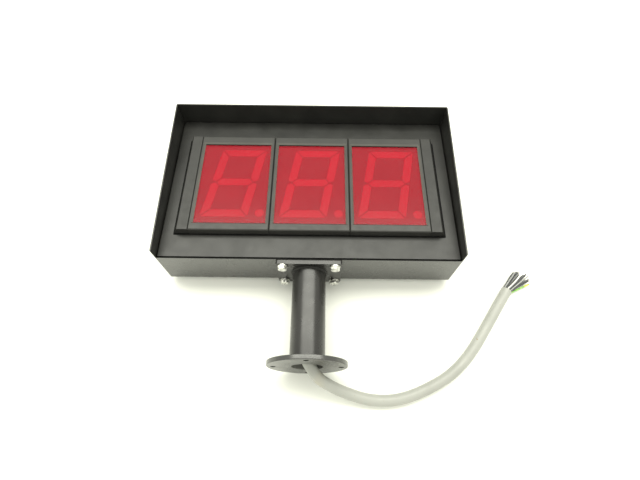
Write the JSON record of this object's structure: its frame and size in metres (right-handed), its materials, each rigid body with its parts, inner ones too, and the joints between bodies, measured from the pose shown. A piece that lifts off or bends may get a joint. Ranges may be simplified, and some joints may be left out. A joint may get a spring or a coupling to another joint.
{
  "type": "seven segment numeric display",
  "caption": "Numeric display in a hooded black steel case on a flanged tube post, red windows, grey multicore cable with bare cores.",
  "frame": {"origin": "under the middle of the object's box without the free cable, at the height of the lowest point of the post's round flange, with the object lying on its back", "axes": "+X to the display's right, +Y up the display, away from the post, +Z out of the digits; the post and its flange point along -Y"},
  "size_m": [0.4667, 0.3625, 0.106],
  "materials": {
    "black_paint": "semi-gloss black powder coat, slightly textured",
    "spring_steel": "plain rolled spring steel",
    "black_moulding": "fine-textured black moulding",
    "red_acrylic": "clear red acrylic",
    "digit_block": "dark moulded face",
    "segment_diffuser": "milky epoxy",
    "lamp_red": "tinted epoxy lamp",
    "board_green": "solder-resist green",
    "zinc_steel": "bright zinc plate",
    "header_black": "moulded black",
    "pillar_brass": "turned brass",
    "capacitor_sleeve": "shrink sleeve",
    "terminal_green": "moulded green",
    "ribbon_grey": "flat cable insulation",
    "earth_insulation": "green insulation with a yellow stripe",
    "core_grey": "dark core insulation",
    "core_white": "white core insulation",
    "gland_nylon": "moulded nylon",
    "seal_rubber": "soft black rubber",
    "cable_sheath": "grey sheath"
  },
  "bodies": {
    "case": {"housing_shell": "black_paint", "panel_ledges": "black_paint", "panel_clips": "spring_steel", "driver_board": "board_green", "board_standoffs": "pillar_brass", "driver_screws": "zinc_steel", "driver_chips": "header_black", "capacitors": "capacitor_sleeve", "power_module": "header_black", "terminal_block": "terminal_green", "terminal_screws": "zinc_steel", "board_headers": "header_black", "ribbon_left": "ribbon_grey", "ribbon_middle": "ribbon_grey", "ribbon_right": "ribbon_grey", "earth_stud": "zinc_steel", "earth_nut": "zinc_steel", "earth_lead": "earth_insulation", "inside_cores": "core_grey", "cable_gland": "gland_nylon", "gland_nut": "gland_nylon", "gland_cap": "gland_nylon", "gland_seal": "seal_rubber", "post_plate": "black_paint", "post_tube": "black_paint", "post_flange": "black_paint", "weld_beads": "black_paint", "plate_bolts": "zinc_steel", "plate_washers": "zinc_steel", "plate_nuts": "black_paint", "cable_inner": "cable_sheath", "cable": "cable_sheath", "cable_cores": "core_grey", "white_core": "core_white", "earth_core": "earth_insulation"},
    "tray": {"front_panel": "black_paint", "row_gasket": "seal_rubber", "bezel_left": "black_moulding", "bezel_middle": "black_moulding", "bezel_right": "black_moulding", "filter_left": "red_acrylic", "filter_middle": "red_acrylic", "filter_right": "red_acrylic", "digit_body_left": "digit_block", "digit_body_middle": "digit_block", "digit_body_right": "digit_block", "segments_left": "segment_diffuser", "segments_middle": "segment_diffuser", "segments_right": "segment_diffuser", "leds_left": "lamp_red", "leds_middle": "lamp_red", "leds_right": "lamp_red", "digit_board_left": "board_green", "digit_board_middle": "board_green", "digit_board_right": "board_green", "end_strip_left": "black_moulding", "end_strip_right": "black_moulding", "module_screws": "zinc_steel", "digit_screws": "zinc_steel", "digit_headers": "header_black"}
  },
  "joints": [
    {"name": "panel_lift", "type": "slide", "parent": "case", "child": "tray", "axis": [0, 0, 1], "range_m": [0, 0.1], "deforming": ["ribbon_left", "ribbon_middle", "ribbon_right"]}
  ]
}
